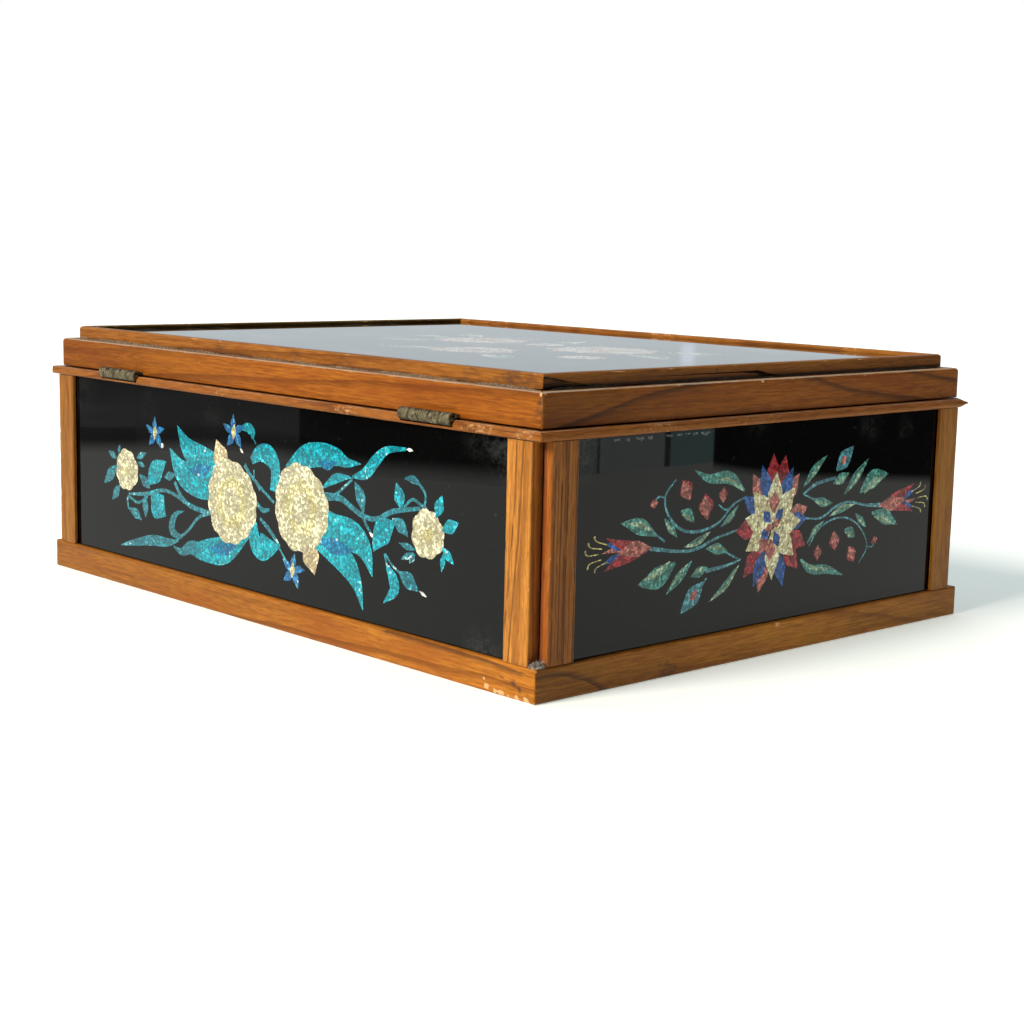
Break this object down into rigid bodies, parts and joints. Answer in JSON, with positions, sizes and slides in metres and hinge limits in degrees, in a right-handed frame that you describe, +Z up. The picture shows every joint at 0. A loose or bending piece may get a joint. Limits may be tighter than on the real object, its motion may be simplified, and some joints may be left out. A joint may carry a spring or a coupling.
{
  "type": "hinged trinket box",
  "caption": "Low rectangular wooden trinket box with painted glass panes in its walls and lid, the lid hinged at one long side.",
  "frame": {"origin": "underside of the bottom board, at the middle of the box in plan", "axes": "+Z up; +X along the hinge line, to the right as one faces the hinge side; the hinges face -Y and the lid opens from the +Y side"},
  "size_m": [0.2554, 0.1983, 0.0875],
  "materials": {
    "frame_wood": "open-grained orange-brown wood, thin worn varnish, pale where the edges are rubbed",
    "plain_board": "plain thin board, unvarnished",
    "painted_glass": "glossy clear glass painted black from behind, with foil showing through flower shapes left open in the paint",
    "aged_brass": "dull, dark, greenish"
  },
  "bodies": {
    "root": {"base_rail_hinge_side": "frame_wood", "base_rail_right_end": "frame_wood", "base_rail_opening_side": "frame_wood", "base_rail_left_end": "frame_wood", "bottom_board": "plain_board", "stile_hinge_side_left": "frame_wood", "stile_hinge_side_right": "frame_wood", "stile_right_end_hinge": "frame_wood", "stile_right_end_opening": "frame_wood", "stile_opening_side_right": "frame_wood", "stile_opening_side_left": "frame_wood", "stile_left_end_opening": "frame_wood", "stile_left_end_hinge": "frame_wood", "glass_hinge_side": "painted_glass", "glass_right_end": "painted_glass", "glass_opening_side": "painted_glass", "glass_left_end": "painted_glass", "backing_hinge_side": "plain_board", "backing_right_end": "plain_board", "backing_opening_side": "plain_board", "backing_left_end": "plain_board", "ledge_hinge_side": "frame_wood", "ledge_right_end": "frame_wood", "ledge_opening_side": "frame_wood", "ledge_left_end": "frame_wood", "hinge_left_lower_leaf": "aged_brass", "hinge_left_pin": "aged_brass", "hinge_right_lower_leaf": "aged_brass", "hinge_right_pin": "aged_brass"},
    "lid": {"lid_rail_hinge_side": "frame_wood", "lid_rail_right_end": "frame_wood", "lid_rail_opening_side": "frame_wood", "lid_rail_left_end": "frame_wood", "bead_hinge_side": "frame_wood", "bead_right_end": "frame_wood", "bead_opening_side": "frame_wood", "bead_left_end": "frame_wood", "glass_top": "painted_glass", "backing_top": "plain_board", "hinge_left_upper_leaf": "aged_brass", "hinge_right_upper_leaf": "aged_brass"}
  },
  "joints": [
    {"name": "lid_hinge", "type": "hinge", "parent": "root", "child": "lid", "pos_m": [0, -0.09795, 0.07325], "axis": [1, 0, 0], "range_deg": [0, 180]}
  ]
}
